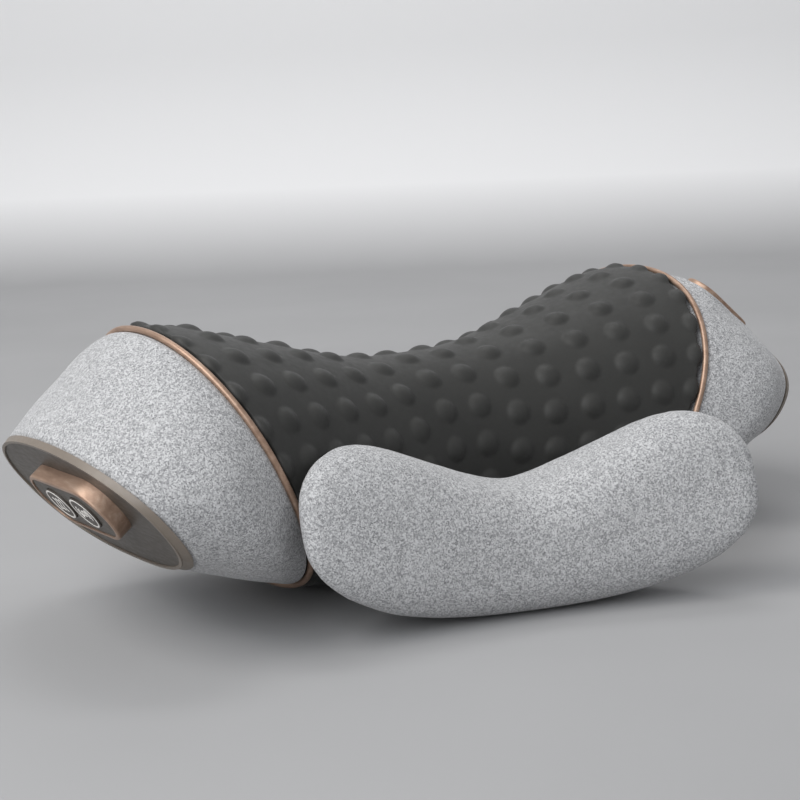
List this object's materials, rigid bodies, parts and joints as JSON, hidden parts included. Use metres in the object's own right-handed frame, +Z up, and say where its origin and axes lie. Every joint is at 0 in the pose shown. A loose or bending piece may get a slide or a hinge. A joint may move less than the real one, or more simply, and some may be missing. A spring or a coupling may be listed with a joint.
{
  "type": "neck stretch massage pillow",
  "caption": "Saddle-shaped neck stretch roll with nubbed silicone cover, copper-coloured rings, fabric ends, two-button control pod and a loose height pad.",
  "frame": {"origin": "middle of the roll's flat base, on the surface it rests on", "axes": "+X along the roll to its right end, which has the charging pod; the front, with the loose pad, faces -Y; +Z up"},
  "size_m": [0.4558, 0.2681, 0.148],
  "materials": {
    "foam": "open-cell foam",
    "silicone": "matte silicone with low domes",
    "heater_film": "thin film with printed tracks",
    "grip_sheet": "non-slip dotted sheet",
    "copper_trim": "satin rose copper",
    "melange_fabric": "heathered light grey knit",
    "taupe_plastic": "fine matte taupe",
    "rim_plastic": "satin taupe rim",
    "circuit_board": "solder resist",
    "black_plastic": "moulded",
    "steel": "zinc plated",
    "brass": "turned",
    "cell_wrap": "shrink wrap",
    "lens": "milky light pipe",
    "lead_jacket": "round twin lead"
  },
  "bodies": {
    "roll": {"foam_core": "foam", "heating_film": "heater_film", "massage_cover": "silicone", "base_grip_sheet": "grip_sheet", "left_trim_ring": "copper_trim", "right_trim_ring": "copper_trim", "left_fabric_end": "melange_fabric", "right_fabric_end": "melange_fabric", "left_end_panel": "taupe_plastic", "right_end_panel": "taupe_plastic", "left_panel_rim": "rim_plastic", "right_panel_rim": "rim_plastic", "control_pod_housing": "copper_trim", "control_pod_face": "taupe_plastic", "control_board": "circuit_board", "tact_switches": "black_plastic", "control_screws": "steel", "charge_pod_housing": "copper_trim", "charge_pod_face": "taupe_plastic", "charge_port_shell": "steel", "charge_port_tongue": "black_plastic", "charge_port_board": "circuit_board", "charge_light": "lens", "electronics_case_lower": "black_plastic", "electronics_case_upper": "black_plastic", "case_screws": "steel", "battery_tray": "black_plastic", "battery_cells": "cell_wrap", "battery_contacts": "steel", "main_board": "circuit_board", "main_board_parts": "black_plastic", "main_board_screws": "steel", "left_motor_pod": "black_plastic", "left_motor_cradle": "black_plastic", "left_vibration_motor": "steel", "right_motor_pod": "black_plastic", "right_motor_cradle": "black_plastic", "right_vibration_motor": "steel", "control_lead": "lead_jacket", "charge_lead": "lead_jacket", "left_motor_lead": "lead_jacket", "right_motor_lead": "lead_jacket"},
    "heat_button": {"heat_button": "taupe_plastic"},
    "massage_button": {"massage_button": "taupe_plastic"},
    "left_rotor": {"left_motor_shaft": "steel", "left_motor_weight": "brass"},
    "right_rotor": {"right_motor_shaft": "steel", "right_motor_weight": "brass"},
    "height_pad": {"pad_foam": "foam", "pad_cover": "melange_fabric"}
  },
  "joints": [
    {"name": "heat_button_press", "type": "slide", "parent": "roll", "child": "heat_button", "axis": [0.7955, 0, 0.606], "range_m": [0, 0.0008], "stiffness_N_per_m": 600},
    {"name": "massage_button_press", "type": "slide", "parent": "roll", "child": "massage_button", "axis": [0.7955, 0, 0.606], "range_m": [0, 0.0008], "stiffness_N_per_m": 600},
    {"name": "left_motor_spin", "type": "hinge", "parent": "roll", "child": "left_rotor", "pos_m": [-0.084, 0, 0.084], "axis": [0, 1, 0], "continuous": true},
    {"name": "right_motor_spin", "type": "hinge", "parent": "roll", "child": "right_rotor", "pos_m": [0.084, 0, 0.084], "axis": [0, 1, 0], "continuous": true},
    {"name": "pad_pull", "type": "slide", "parent": "roll", "child": "height_pad", "axis": [0, -1, 0], "range_m": [0, 0.15]}
  ]
}
